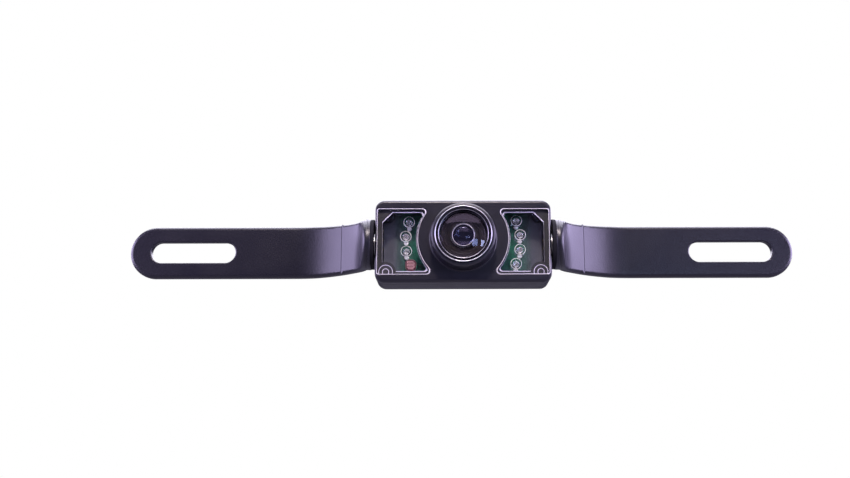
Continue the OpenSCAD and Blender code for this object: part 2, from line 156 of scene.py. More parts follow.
seam_at = bend_start - bend_r * seam_turn
slot_rim_r, soft_edge, boss_sink = 0.7, 0.35, 2.6
taper_from, taper_run = bend_start - 10, 22


def grained_plastic(name, colour, rough, grain=0.0001, scale=1500):
    """Moulded plastic: a spark-eroded grain, faint cloudy marks and paler worn edges."""
    mat = bpy.data.materials.new(name)
    mat.use_nodes = True
    tree = mat.node_tree
    skin = tree.nodes["Principled BSDF"]
    place = tree.nodes.new("ShaderNodeTexCoord")
    fine, cloud = tree.nodes.new("ShaderNodeTexNoise"), tree.nodes.new("ShaderNodeTexNoise")
    fine.inputs["Scale"].default_value, fine.inputs["Detail"].default_value = scale, 3
    cloud.inputs["Scale"].default_value, cloud.inputs["Detail"].default_value = 55, 4
    for noise in (fine, cloud):
        tree.links.new(place.outputs["Object"], noise.inputs["Vector"])
    shade = tree.nodes.new("ShaderNodeMix")
    shade.data_type = "RGBA"
    shade.inputs["A"].default_value = (*[c * 0.82 for c in colour], 1)
    shade.inputs["B"].default_value = (*[c * 1.2 for c in colour], 1)
    tree.links.new(cloud.outputs["Fac"], shade.inputs["Factor"])
    edge = tree.nodes.new("ShaderNodeNewGeometry")
    worn = tree.nodes.new("ShaderNodeMapRange")
    worn.inputs["From Min"].default_value, worn.inputs["From Max"].default_value = 0.52, 0.62
    tree.links.new(edge.outputs["Pointiness"], worn.inputs["Value"])
    rubbed = tree.nodes.new("ShaderNodeMix")
    rubbed.data_type = "RGBA"
    rubbed.inputs["B"].default_value = (*[min(1, c * 2.1 + 0.004) for c in colour], 1)
    tree.links.new(worn.outputs["Result"], rubbed.inputs["Factor"])
    tree.links.new(shade.outputs["Result"], rubbed.inputs["A"])
    tree.links.new(rubbed.outputs["Result"], skin.inputs["Base Color"])
    gloss = tree.nodes.new("ShaderNodeMapRange")
    gloss.inputs["To Min"].default_value, gloss.inputs["To Max"].default_value = rough + 0.07, rough - 0.07
    tree.links.new(cloud.outputs["Fac"], gloss.inputs["Value"])
    tree.links.new(gloss.outputs["Result"], skin.inputs["Roughness"])
    bump = tree.nodes.new("ShaderNodeBump")
    bump.inputs["Strength"].default_value, bump.inputs["Distance"].default_value = 0.55, grain
    tree.links.new(fine.outputs["Fac"], bump.inputs["Height"])
    tree.links.new(bump.outputs["Normal"], skin.inputs["Normal"])
    return mat


def piece(bm, name, body, slot, mat, *nodes, smooth=38):
    """Turns a bmesh in millimetres into a finished piece, in metres, riding on its body."""
    bmesh.ops.remove_doubles(bm, verts=bm.verts, dist=0.0005)
    bmesh.ops.recalc_face_normals(bm, faces=bm.faces)
    bmesh.ops.scale(bm, verts=bm.verts, vec=(0.001, 0.001, 0.001))
    mesh = bpy.data.meshes.new(name)
    bm.to_mesh(mesh)
    bm.free()
    mesh.shade_smooth()
    mesh.set_sharp_from_angle(angle=math.radians(smooth))
    obj = bpy.data.objects.new(name, mesh)
    bpy.context.scene.collection.objects.link(obj)
    mesh.materials.append(mat)
    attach(obj, body)
    if nodes:
        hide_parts(*nodes)
    return obj


def even_normals(obj):
    """Keeps flat faces flat to the eye beside their rounded edges."""
    mod = obj.modifiers.new("even_normals", "WEIGHTED_NORMAL")
    mod.keep_sharp = True
    return obj


def oblong(bm, left, right, radius, segments=64):
    """A ring of edges round two half circles, centred at left and right along X."""
    ring = bmesh.ops.create_circle(bm, segments=segments, radius=radius)["verts"]
    bmesh.ops.rotate(bm, verts=ring, matrix=Matrix.Rotation(math.pi / segments, 3, "Z"))
    bmesh.ops.rotate(bm, verts=ring, matrix=Matrix.Rotation(math.pi / 2, 3, "X"))
    for v in ring:
        v.co.x += right if v.co.x > 0 else left
    return list({e for v in ring for e in v.link_edges})


def sharp_edges(bm, test=lambda e: True, angle=50):
    return [e for e in bm.edges if e.is_manifold and e.calc_face_angle(0) > math.radians(angle) and test(e)]


def round_edges(bm, edges, radius, segments=4):
    bmesh.ops.bevel(bm, geom=edges, offset=radius, offset_type="OFFSET", segments=segments, profile=0.5,
                    affect="EDGES", clamp_overlap=False, material=-1)


def cut_across(bm, places, axis=(1, 0, 0)):
    for p in places:
        bmesh.ops.bisect_plane(bm, geom=bm.verts[:] + bm.edges[:] + bm.faces[:], dist=0.0001,
                               plane_co=Vector(axis) * p, plane_no=axis)


def bend_strip(x, e):
    """Where a point of the flat blank at x, e behind the front surface, ends up after bending."""
    run = bend_start - x
    if run <= 0:
        return Vector((x, e - arm_t))
    if run <= bend_run + elbow_run:
        long_bend = run <= bend_run
        turn = run / bend_r if long_bend else bend_turn + (run - bend_run) / elbow_r
        centre, radius = (bend_centre, bend_r) if long_bend else (elbow_centre, elbow_r)
        return centre + (radius + e) * Vector((-math.sin(turn), math.cos(turn)))
    end = elbow_centre + (elbow_r + e) * Vector((-math.sin(ear_turn), math.cos(ear_turn)))
    return end - (run - bend_run - elbow_run) * Vector((math.cos(ear_turn), math.sin(ear_turn)))


def bend_blank(bm, lowest=0.0):
    """Bends a flat blank, front at y = -arm_t, and draws its ear in to the ear's height."""
    for v in bm.verts:
        e = v.co.y + arm_t
        if v.co.x < seam_at:
            e = max(e, lowest)
        draw = min(1, max(0, (taper_from - v.co.x) / taper_run))
        flat = bend_strip(v.co.x, e)
        v.co = (max(flat.x, ear_x) if v.co.x < bend_start else flat.x, flat.y,
                v.co.z * (1 + draw * (2 * ear_r / arm_h - 1)))


def strip_x(y, e):
    """Distance from the middle of the bent strip's layer at depth e, at a place y."""
    if y > (elbow_centre + (elbow_r + e) * Vector((0, math.cos(bend_turn)))).y:
        turn = math.acos(min(1, (y - bend_centre.y) / (bend_r + e)))
        return bend_centre.x - (bend_r + e) * math.sin(turn)
    tip = elbow_centre + (elbow_r + e) * Vector((-math.sin(ear_turn), math.cos(ear_turn)))
    if y > tip.y:
        turn = math.acos((y - elbow_centre.y) / (elbow_r + e))
        return elbow_centre.x - (elbow_r + e) * math.sin(turn)
    return tip.x - (tip.y - y) / math.tan(ear_turn)


def thicken(bm, depth):
    """Sets a flat blank at the arm's front and gives it its thickness, towards the plate."""
    bmesh.ops.translate(bm, verts=bm.verts, vec=(0, -arm_t, 0))
    wall = bmesh.ops.extrude_face_region(bm, geom=bm.faces[:])
    bmesh.ops.translate(bm, verts=[g for g in wall["geom"] if isinstance(g, bmesh.types.BMVert)],
                        vec=(0, depth, 0))
    bmesh.ops.recalc_face_normals(bm, faces=bm.faces)


def on_front(e):
    return all(v.co.y < -arm_t + 0.01 for v in e.verts)


def in_slot(e):
    middle = (e.verts[0].co + e.verts[1].co) / 2
    return abs(middle.z) < slot_r + 0.1 and abs(middle.x - slot_x) < slot_run + slot_r + 0.1


black_nylon = grained_plastic("black_nylon", (0.0042, 0.004, 0.0085), 0.35)
bend_cuts = [bend_start - 1.5 * i for i in range(35)]

for side, sign in (("right", 1), ("left", -1)):
    bm = bmesh.new()
    rim = oblong(bm, bend_start - ear_run + arm_h / 2, half_span - arm_h / 2, arm_h / 2)
    slot = oblong(bm, slot_x - slot_run, slot_x + slot_run, slot_r)
    bmesh.ops.bridge_loops(bm, edges=rim + slot)
    cut_across(bm, bend_cuts + [seam_at + 0.02, seam_at - 0.02])
    thicken(bm, arm_t)
    round_edges(bm, sharp_edges(bm, lambda e: on_front(e) and not in_slot(e)), rim_r, 6)
    round_edges(bm, sharp_edges(bm, lambda e: on_front(e) and in_slot(e)), slot_rim_r, 4)
    round_edges(bm, sharp_edges(bm), soft_edge, 2)
    bend_blank(bm, cap_t)

    # the boss that carries the pivot stands on the inner side of the ear
    disc = bmesh.ops.create_circle(bm, segments=72, radius=hub_r, cap_ends=True, cap_tris=True)["verts"]
    bmesh.ops.rotate(bm, verts=disc, matrix=Matrix.Rotation(math.pi / 2, 3, "Y"))
    bmesh.ops.translate(bm, verts=disc, vec=(ear_x, pivot_y, 0))
    grown = bmesh.ops.extrude_face_region(bm, geom=list({f for v in disc for f in v.link_faces}))
    outer = [g for g in grown["geom"] if isinstance(g, bmesh.types.BMVert)]
    for v in outer:
        v.co.x = strip_x(v.co.y, boss_sink)
    lip = [e for e in bm.edges if e.is_manifold and all(abs(v.co.x - ear_x) < 0.01 and
           abs((v.co - Vector((ear_x, pivot_y, 0))).length - hub_r) < 0.01 for v in e.verts)]
    round_edges(bm, lip, soft_edge, 3)
    bmesh.ops.scale(bm, verts=bm.verts, vec=(sign, 1, 1))
    even_normals(piece(bm, f"{side}_arm_moulding", f"{side}_arm", "textured_black", black_nylon,
                       f"{side}_arm"))

# ---------------------------------------------------------------- arm caps
# A thin cap of the same nylon snaps over each pivot screw. Its end shows as a fine seam across the
# elbow, and it carries the arm's curve on to the rim of the ear.
seam_x = seam_at - seam_gap
for side, sign in (("right", 1), ("left", -1)):
    bm = bmesh.new()
    ring = oblong(bm, bend_start - ear_run + arm_h / 2, seam_x, arm_h / 2)
    for v in bm.verts:
        v.co.x = min(v.co.x, seam_x)
    bmesh.ops.remove_doubles(bm, verts=bm.verts, dist=0.001)
    bmesh.ops.contextual_create(bm, geom=bm.edges[:])
    cut_across(bm, [x for x in bend_cuts if x < seam_x - 0.2])
    thicken(bm, cap_t - 0.05)
    round_edges(bm, sharp_edges(bm, lambda e: on_front(e) and any(v.co.x < seam_x - 0.01 for v in e.verts)),
                rim_r, 6)
    bend_blank(bm)
    bmesh.ops.scale(bm, verts=bm.verts, vec=(sign, 1, 1))
    even_normals(piece(bm, f"{side}_arm_cover", f"{side}_arm", "textured_black", black_nylon,
                       f"{side}_arm_cap"))

# ---------------------------------------------------------------- rear housing
# The back half of the head is a deep black nylon tray with rounded corners. Four counterbored
# screw wells stand in its corners, and a gland seals the cable's hole low in its back.
head_low, head_high = (Vector(c) * 1000 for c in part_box("rear_housing"))
half_w, half_h = head_high.x, head_high.z
back_y, parting_y = head_high.y, head_low.y
corner_r, side_wall, shell_wall, floor_t = 4.5, 3.2, 2.2, 2.0
well_x, well_z, post_r = half_w - 5.2, half_h - 5.4, 3.3
screw_well_r, screw_well_depth, screw_hole_r, gland_r = 2.7, 2.2, 1.45, 3.6
gland_z = (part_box("cable_gland")[0][2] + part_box("cable_gland")[1][2]) * 500


def rounded_block(width, height, front_y, rear_y, radius, front_edge=0, rear_edge=0):
    """A block with rounded corners, its front and rear rims rounded too."""
    bm = bmesh.new()
    bmesh.ops.create_cube(bm, size=1)
    bmesh.ops.scale(bm, verts=bm.verts, vec=(width, rear_y - front_y, height))
    bmesh.ops.translate(bm, verts=bm.verts, vec=(0, (front_y + rear_y) / 2, 0))
    round_edges(bm, [e for e in bm.edges if abs((e.verts[0].co - e.verts[1].co).normalized().y) > 0.9],
                radius, 8)
    for y, size in ((front_y, front_edge), (rear_y, rear_edge)):
        if size:
            rim = [e for e in bm.edges if all(abs(v.co.y - y) < 0.001 for v in e.verts)]
            round_edges(bm, rim, size, 5)
    return bm


def drum(x, z, radius, front_y, rear_y, segments=48, chamfer=0):
    """A round bar along Y, for a post or for cutting a hole; a chamfer flares its rear end."""
    bm = bmesh.new()
    bmesh.ops.create_cone(bm, cap_ends=True, segments=segments, radius1=radius, radius2=radius,
                          depth=rear_y - front_y)
    bmesh.ops.rotate(bm, verts=bm.verts, matrix=Matrix.Rotation(math.pi / 2, 3, "X"))
    bmesh.ops.translate(bm, verts=bm.verts, vec=(x, (front_y + rear_y) / 2, z))
    if chamfer:
        bmesh.ops.bisect_plane(bm, geom=bm.verts[:] + bm.edges[:] + bm.faces[:], dist=0.0001,
                               plane_co=(0, rear_y - 1 - chamfer, 0), plane_no=(0, 1, 0))
        for v in bm.verts:
            if v.co.y > rear_y - 0.01:
                v.co.x += (v.co.x - x) * (1 + chamfer) / radius
                v.co.z += (v.co.z - z) * (1 + chamfer) / radius
    return bm


def scratch(bm, name):
    mesh = bpy.data.meshes.new(name)
    bmesh.ops.recalc_face_normals(bm, faces=bm.faces)
    bm.to_mesh(mesh)
    bm.free()
    obj = bpy.data.objects.new(name, mesh)
    bpy.context.scene.collection.objects.link(obj)
    return obj


def cut(bm, *tools):
    """The body less the tools, each a closed bmesh."""
    body = scratch(bm, "blank")
    cutters = [scratch(t, "tool") for t in tools]
    for c in cutters:
        mod = body.modifiers.new("cut", "BOOLEAN")
        mod.operation, mod.solver, mod.object = "DIFFERENCE", "EXACT", c
    shape = bpy.data.meshes.new_from_object(body.evaluated_get(bpy.context.evaluated_depsgraph_get()))
    result = bmesh.new()
    result.from_mesh(shape)
    for o in [body] + cutters:
        mesh = o.data
        bpy.data.objects.remove(o)
        bpy.data.meshes.remove(mesh)
    bpy.data.meshes.remove(shape)
    return result


def join(bm, *others):
    """Adds other closed shells to a bmesh, as parts of one moulding."""
    for other in others:
        mesh = bpy.data.meshes.new("shell")
        bmesh.ops.recalc_face_normals(other, faces=other.faces)
        other.to_mesh(mesh)
        other.free()
        bm.from_mesh(mesh)
        bpy.data.meshes.remove(mesh)
    return bm


corners = [(sx * well_x, sz * well_z) for sx in (-1, 1) for sz in (-1, 1)]
tray = cut(rounded_block(2 * half_w, 2 * half_h, parting_y, back_y, corner_r, 0.35, 1.6),
           rounded_block(2 * (half_w - side_wall), 2 * (half_h - shell_wall), parting_y - 1,
                         back_y - floor_t, 3),
           *[drum(x, z, screw_well_r, back_y - screw_well_depth, back_y + 1, chamfer=0.3)
             for x, z in corners],
           drum(0, gland_z, gland_r, back_y - 3, back_y + 1))
posts = [cut(drum(x, z, post_r, parting_y + 0.02, back_y - screw_well_depth + 0.01),
             drum(x, z, screw_hole_r, parting_y - 1, back_y)) for x, z in corners]
even_normals(piece(join(tray, *posts), "rear_tray", "camera_head", "textured_black", black_nylon,
                   "rear_housing", smooth=45))

# ---------------------------------------------------------------- front cover
# The front half of the head is moulded in the same nylon: a flat face with a soft rim, a conical
# turret that flares out of the face round the lens, and a stepped window seat on each side.
face_front = -30.1
top_round, side_round = 1.9, 0.7
seat_y, cavity_y = face_front + 2.0, face_front + 3.6
lens_z = 1.2
turret_r, turret_front = 15.3, face_front - 9.6
foot_r, foot_fillet, foot_y = 16.5, 0.68, face_front + 1.6
neck_r, bezel_seat_r, glass_seat_r, baffle_seat_r, bore_r = 12.6, 13.62, 12.3, 10.9, 9.5
bezel_seat, glass_seat, baffle_seat = (turret_front + depth for depth in (2.5, 3.8, 5.3))
window_mid, window_half, window_x, arc_r = -0.2, 16.2, half_w - 0.8, 21.7
ledge_side, ledge_top, ledge_arc = 2.6, 1.75, 0.9
well_clear = post_r + 1.6


def rounded_corners(points, steps=5):
    """Each (a, b, radius) of an outline becomes an arc of that radius, or stays sharp at 0."""
    result = []
    for i, (a, b, radius) in enumerate(points):
        here = Vector((a, b))
        back = (Vector(points[i - 1][:2]) - here).normalized()
        on = (Vector(points[(i + 1) % len(points)][:2]) - here).normalized()
        if radius <= 0 or abs(back.angle(on) - math.pi) < 0.01:
            result.append(here)
            continue
        half = back.angle(on) / 2
        start, end = here + back * radius / math.tan(half), here + on * radius / math.tan(half)
        centre = here + (back + on).normalized() * radius / math.sin(half)
        for k in range(steps + 1):
            spoke = (start - centre).slerp(end - centre, k / steps)
            result.append(centre + spoke.normalized() * radius)
    return result


def window_outline(side=0.0, top=0.0, arc=0.0, tip=1.7, hole=False):
    """Outline of the right-hand window, drawn in by margins, with an arc beside the lens."""
    high, low = window_mid + window_half - top, window_mid - window_half + top
    radius, outer = arc_r + arc, window_x - side
    up, down = (math.asin((z - lens_z) / radius) for z in (high, low))
    gap, count = math.radians(7), 18
    points = [(radius * math.cos(down), low, tip)]
    if hole:
        # the lower outer corner goes round its screw post, the upper one is cut off over its post
        rise = math.asin((low + well_z) / well_clear)
        turn = math.acos((outer - well_x) / well_clear)
        points += [(well_x + well_clear * math.cos(t), -well_z + well_clear * math.sin(t), 0)
                   for t in (math.pi - rise - (math.pi - rise - turn) * k / 10 for k in range(11))]
        points += [(outer, high - 4.9, 0.8), (outer - 4.9, high, 0.8)]
    else:
        points += [(outer, low, 1.1), (outer, high, 1.1)]
    points.append((radius * math.cos(up), high, tip))
    points += [(radius * math.cos(t), lens_z + radius * math.sin(t), 0)
               for t in (up - gap - (up - down - 2 * gap) * k / count for k in range(count + 1))]
    return rounded_corners(points)


def stack(layers, mirror=False):
    """A closed solid through layers of (y, outline), each outline with the same number of points."""
    bm = bmesh.new()
    rings = []
    for y, outline in layers:
        verts = [bm.verts.new((p.x, y, p.y)) for p in outline]
        rings.append([bm.edges.new((verts[i - 1], verts[i])) for i in range(len(verts))])
    for a, b in zip(rings, rings[1:]):
        bmesh.ops.bridge_loops(bm, edges=a + b)
    for ring in (rings[0], rings[-1]):
        bmesh.ops.contextual_create(bm, geom=ring)
    if mirror:
        bmesh.ops.scale(bm, verts=bm.verts, vec=(-1, 1, 1))
    bmesh.ops.recalc_face_normals(bm, faces=bm.faces)
    return bm


def window_prism(layers, mirror, hole=False, tip=1.7):
    """A window-shaped solid through layers of (y, side, top, arc) margins, back to front."""
    return stack([(y, window_outline(side, top, arc, tip, hole)) for y, side, top, arc in layers], mirror)


def front_block():
    """The face's slab: its top and bottom edges are well rounded, its sides only a little."""
    def drop(depth, radius):
        return radius - math.sqrt(radius ** 2 - (radius - depth) ** 2) if depth < radius else 0

    layers = []
    for depth in (parting_y - face_front, parting_y - face_front - 0.35, top_round, 1.4, 0.95, 0.65, 0.42,
                  0.24, 0.1, 0.02):
        groove = 0.3 if depth > 4.9 else 0
        w, h = half_w - drop(depth, side_round) - groove, half_h - drop(depth, top_round) - groove
        layers.append((face_front + depth, rounded_corners(
            [(w, -h, corner_r), (w, h, corner_r), (-w, h, corner_r), (-w, -h, corner_r)], 10)))
    return stack(layers)


def turned(profile, steps=96, axis=(0, lens_z)):
    """Spins a closed outline of (radius, y, corner radius) points about an axis along Y."""
    bm = bmesh.new()
    outline = rounded_corners(profile, 4)
    verts = [bm.verts.new((axis[0] + max(p.x, 0), p.y, axis[1])) for p in outline]
    edges = [bm.edges.new((verts[i - 1], verts[i])) for i in range(len(verts))]
    if min(p.x for p in outline) < 0.001:
        edges = [e for e in edges if not all(abs(v.co.x - axis[0]) < 0.001 for v in e.verts)]
    bmesh.ops.spin(bm, geom=verts + edges, cent=(axis[0], 0, axis[1]), axis=(0, 1, 0), dvec=(0, 0, 0),
                   angle=2 * math.pi, steps=steps, use_merge=True)
    bmesh.ops.remove_doubles(bm, verts=bm.verts, dist=0.0005)
    bmesh.ops.delete(bm, geom=[e for e in bm.edges if not e.link_faces], context="EDGES")
    bmesh.ops.recalc_face_normals(bm, faces=bm.faces)
    return bm


def arc_profile(centre, radius, start, stop, steps=8):
    turns = (math.radians(start + (stop - start) * k / steps) for k in range(steps + 1))
    return [(centre[0] + radius * math.cos(t), centre[1] - radius * math.sin(t), 0) for t in turns]


face = cut(front_block(),
           rounded_block(2 * (half_w - side_wall), 2 * (half_h - shell_wall), cavity_y, parting_y + 1, 3),
           drum(0, lens_z, 11, face_front - 1, parting_y + 1, 64),
           *[window_prism([(seat_y, 0, 0, 0), (face_front + 0.3, 0, 0, 0),
                           (face_front - 0.5, -0.8, -0.8, -0.8)], m) for m in (False, True)],
           *[window_prism([(parting_y + 1, ledge_side, ledge_top, ledge_arc),
                           (face_front - 1, ledge_side, ledge_top, ledge_arc)], m, True)
             for m in (False, True)])
turret = turned([(bore_r, face_front + 3.5, 0), (neck_r, face_front + 3.5, 0), (neck_r, foot_y, 0),
                 (foot_r, foot_y, 0), (foot_r, face_front - 0.02, 0)]
                + arc_profile((foot_r, face_front - foot_fillet - 0.02), foot_fillet, 268, 186, 6)
                + [(turret_r, turret_front, 1.2), (bezel_seat_r, turret_front, 0.2),
                   (bezel_seat_r, bezel_seat, 0), (glass_seat_r, bezel_seat, 0.1),
                   (glass_seat_r, glass_seat, 0), (baffle_seat_r, glass_seat, 0),
                   (baffle_seat_r, baffle_seat, 0), (bore_r, baffle_seat, 0)])
even_normals(piece(join(face, turret), "front_shell", "camera_head", "textured_black", black_nylon,
                   "front_cover", smooth=45))

# ---------------------------------------------------------------- windows
# Two panes of clear polycarbonate with a polished bevel, glued on thin black seals into the seats.


def lets_light_in(obj):
    """Thin clear pieces throw no shadow on what they cover."""
    obj.visible_shadow = False
    return obj


def clear_stuff(name, tint, ior, rough, marks=0.0):
    """Clear moulded material; marks is the depth of its faint ripples and scuffs, in metres."""
    mat = bpy.data.materials.new(name)
    mat.use_nodes = True
    tree = mat.node_tree
    skin = tree.nodes["Principled BSDF"]
    skin.inputs["Transmission Weight"].default_value = 1
    skin.inputs["IOR"].default_value = ior
    place = tree.nodes.new("ShaderNodeTexCoord")
    haze, scuff = tree.nodes.new("ShaderNodeTexNoise"), tree.nodes.new("ShaderNodeTexNoise")
    haze.inputs["Scale"].default_value, scuff.inputs["Scale"].default_value = 90, 420
    for noise in (haze, scuff):
        tree.links.new(place.outputs["Object"], noise.inputs["Vector"])
    shade = tree.nodes.new("ShaderNodeMix")
    shade.data_type = "RGBA"
    shade.inputs["A"].default_value = (*tint, 1)
    shade.inputs["B"].default_value = (*[c * 0.96 for c in tint], 1)
    tree.links.new(haze.outputs["Fac"], shade.inputs["Factor"])
    tree.links.new(shade.outputs["Result"], skin.inputs["Base Color"])
    film = tree.nodes.new("ShaderNodeMapRange")
    film.inputs["From Min"].default_value, film.inputs["From Max"].default_value = 0.35, 0.8
    film.inputs["To Min"].default_value, film.inputs["To Max"].default_value = rough, rough + 0.012
    tree.links.new(scuff.outputs["Fac"], film.inputs["Value"])
    tree.links.new(film.outputs["Result"], skin.inputs["Roughness"])
    if marks:
        bump = tree.nodes.new("ShaderNodeBump")
        bump.inputs["Strength"].default_value, bump.inputs["Distance"].default_value = 0.3, marks
        tree.links.new(haze.outputs["Fac"], bump.inputs["Height"])
        tree.links.new(bump.outputs["Normal"], skin.inputs["Normal"])
    return mat


polycarbonate = clear_stuff("polycarbonate", (0.93, 0.95, 0.96), 1.3, 0.0, 0.00001)
pane_back, pane_front = seat_y - 0.3, face_front + 0.15
for side, flipped in (("right", False), ("left", True)):
    pane = window_prism([(pane_back, 0.1, 0.1, 0.1), (pane_front + 0.5, 0.1, 0.1, 0.1),
                         (pane_front + 0.3, 0.44, 0.44, 0.44), (pane_front, 0.75, 0.75, 0.75)], flipped)
    lets_light_in(even_normals(piece(pane, f"{side}_pane", "camera_head", "clear_plastic", polycarbonate,
                                     f"{side}_window")))

# ---------------------------------------------------------------- window edges
# The cut edge of each pane is frosted and shows as a fine pale line; its pale colour is also a
# painted highlight for the light the pane's edge reflects. A bead of clear glue round the opening
# under it is coloured pale grey, a painted highlight on the opening's edge, and two fine grey rims
# are painted highlights on the screw post in the lower outer corner.
# Pale frosted edge colour, partly a painted highlight on each pane's edge.
frosted_and_highlight = grained_plastic("frosted_edge", (0.75, 0.72, 0.75), 0.25)
# Pale grey bead and rims: painted highlights on the seat's opening and its screw post.
glue_bead = grained_plastic("glue_bead", (0.28, 0.27, 0.3), 0.25)
for side, flipped in (("right", False), ("left", True)):
    edge = cut(window_prism([(y, m, m, m) for y, m in ((pane_front + 0.5, 0.02), (pane_front + 0.12, 0.02),
                                                       (pane_front - 0.06, 0.12))], flipped),
               window_prism([(y, m, m, m) for y, m in ((pane_front + 1, 0.24), (pane_front - 1, 0.24))],
                            flipped))
    piece(edge, f"{side}_pane_edge", "camera_head", "clear_plastic", frosted_and_highlight)
    pale_bead = cut(*[window_prism([(y, ledge_side + m, ledge_top + m, ledge_arc + m) for y in ends],
                              flipped, True, 1.3)
                 for m, ends in ((-0.24, (seat_y + 0.1, seat_y - 0.27)), (0.1, (seat_y + 1, seat_y - 1)))])
    rims = [turned([(r - 0.2, seat_y - 0.2, 0), (r - 0.08, seat_y - 0.5, 0), (r + 0.08, seat_y - 0.5, 0),
                    (r + 0.2, seat_y - 0.2, 0)], 48, (-well_x if flipped else well_x, -well_z))
            for r in (1.5, 3.3)]
    piece(join(pale_bead, *rims), f"{side}_glue_bead", "camera_head", "clear_plastic", glue_bead)

# ---------------------------------------------------------------- infrared lamps
# Seven clear epoxy lamps of 5 mm, each a round body with a flange and a domed end, cast round a
# silver-plated cup and post. Their legs are soldered into the lamp board. A pale ring at the foot of
# each dome and a bead below it are painted highlights that stand for the light each lamp catches.
board_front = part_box("led_board")[0][1] * 1000
lamp_arc, lamp_step, lamp_r = 28, 15, 2.5
flange_r, flange_front, dome_base = 2.9, board_front - 1, board_front - 4.9
leg_r, leg_pitch = 0.3, 1.27
lamp_turns = [21.5 - lamp_step * k for k in range(4)] + [180 - 20 + lamp_step * k for k in range(3)]
cell_turn = 180 - 20 + lamp_step * 3


def on_arc(turn):
    return (lamp_arc * math.cos(math.radians(turn)), lens_z + lamp_arc * math.sin(math.radians(turn)))


epoxy = clear_stuff("clear_epoxy", (0.97, 0.97, 0.98), 1.5, 0.0)
bodies = [turned([(0, board_front, 0), (flange_r, board_front, 0.1), (flange_r, flange_front, 0.15),
                  (lamp_r, flange_front, 0.1)]
                 + arc_profile((0, dome_base), lamp_r, 0, 90, 10), 40, on_arc(t))
          for t in lamp_turns]
lets_light_in(piece(join(bodies[0], *bodies[1:]), "lamp_bodies", "camera_head", "clear_epoxy", epoxy,
                    "ir_leds", smooth=30))


def plated(name, colour, rough, scale=900, streak=(1, 1, 1)):
    """Bright metal with fine tool marks, a slight tarnish and varied gloss."""
    mat = bpy.data.materials.new(name)
    mat.use_nodes = True
    tree = mat.node_tree
    skin = tree.nodes["Principled BSDF"]
    skin.inputs["Metallic"].default_value = 1
    place, turn = tree.nodes.new("ShaderNodeTexCoord"), tree.nodes.new("ShaderNodeMapping")
    turn.inputs["Scale"].default_value = streak
    marks, stain = tree.nodes.new("ShaderNodeTexNoise"), tree.nodes.new("ShaderNodeTexNoise")
    marks.inputs["Scale"].default_value, stain.inputs["Scale"].default_value = scale, 160
    tree.links.new(place.outputs["Object"], turn.inputs["Vector"])
    tree.links.new(turn.outputs["Vector"], marks.inputs["Vector"])
    tree.links.new(place.outputs["Object"], stain.inputs["Vector"])
    shade = tree.nodes.new("ShaderNodeMix")
    shade.data_type = "RGBA"
    shade.inputs["A"].default_value = (*[c * 0.8 for c in colour], 1)
    shade.inputs["B"].default_value = (*colour, 1)
    tree.links.new(stain.outputs["Fac"], shade.inputs["Factor"])
    tree.links.new(shade.outputs["Result"], skin.inputs["Base Color"])
    gloss = tree.nodes.new("ShaderNodeMapRange")
    gloss.inputs["To Min"].default_value, gloss.inputs["To Max"].default_value = rough * 0.7, rough * 1.5
    tree.links.new(marks.outputs["Fac"], gloss.inputs["Value"])
    tree.links.new(gloss.outputs["Result"], skin.inputs["Roughness"])
    return mat


silver = plated("silver_plate", (0.86, 0.85, 0.84), 0.22)
frames = []
for t in lamp_turns:
    x, z = on_arc(t)
    frames.append(turned([(0, board_front - 1, 0), (0.5, board_front - 1, 0), (0.5, board_front - 2.8, 0.1),
                          (0.85, board_front - 3.4, 0.1), (0.85, board_front - 4.0, 0.05),
                          (0.7, board_front - 4.0, 0.05), (0.4, board_front - 3.5, 0),
                          (0, board_front - 3.5, 0)], 32, (x, z)))
    post = bmesh.new()
    bmesh.ops.create_cube(post, size=1)
    bmesh.ops.scale(post, verts=post.verts, vec=(0.35, 3, 0.5))
    bmesh.ops.translate(post, verts=post.verts, vec=(x - 1.3, board_front - 2.1, z))
    round_edges(post, post.edges[:], 0.08, 2)
    frames.append(post)
    for offset in (-leg_pitch, leg_pitch):
        frames.append(drum(x + offset, z, leg_r, board_front - 1.4, board_front + 1.98, 12))
piece(join(frames[0], *frames[1:]), "lamp_frames", "camera_head", "silver_leads", silver, "led_frames")

# Painted highlights: a pale ring round the foot of each dome and a bead below each flange.
glint_shapes = []
for t in lamp_turns:
    x, z = on_arc(t)
    glint_shapes.append(turned([(lamp_r + 0.01, board_front - 4.5, 0), (lamp_r + 0.2, board_front - 4.6, 0.08),
                           (lamp_r + 0.2, board_front - 4.85, 0.08),
                            (lamp_r + 0.01, board_front - 4.95, 0)],
                          40, (x, z)))
    glint_shapes.append(turned([(0, board_front - 1.02, 0), (1.3, board_front - 1.02, 0.1),
                           (0.8, board_front - 1.5, 0.2), (0, board_front - 1.6, 0)], 20, (x, z - 2.55)))
pale_resin = grained_plastic("pale_resin", (0.85, 0.84, 0.86), 0.2, 0.00003)
piece(join(glint_shapes[0], *glint_shapes[1:]), "lamp_collars", "camera_head", "clear_epoxy", pale_resin)

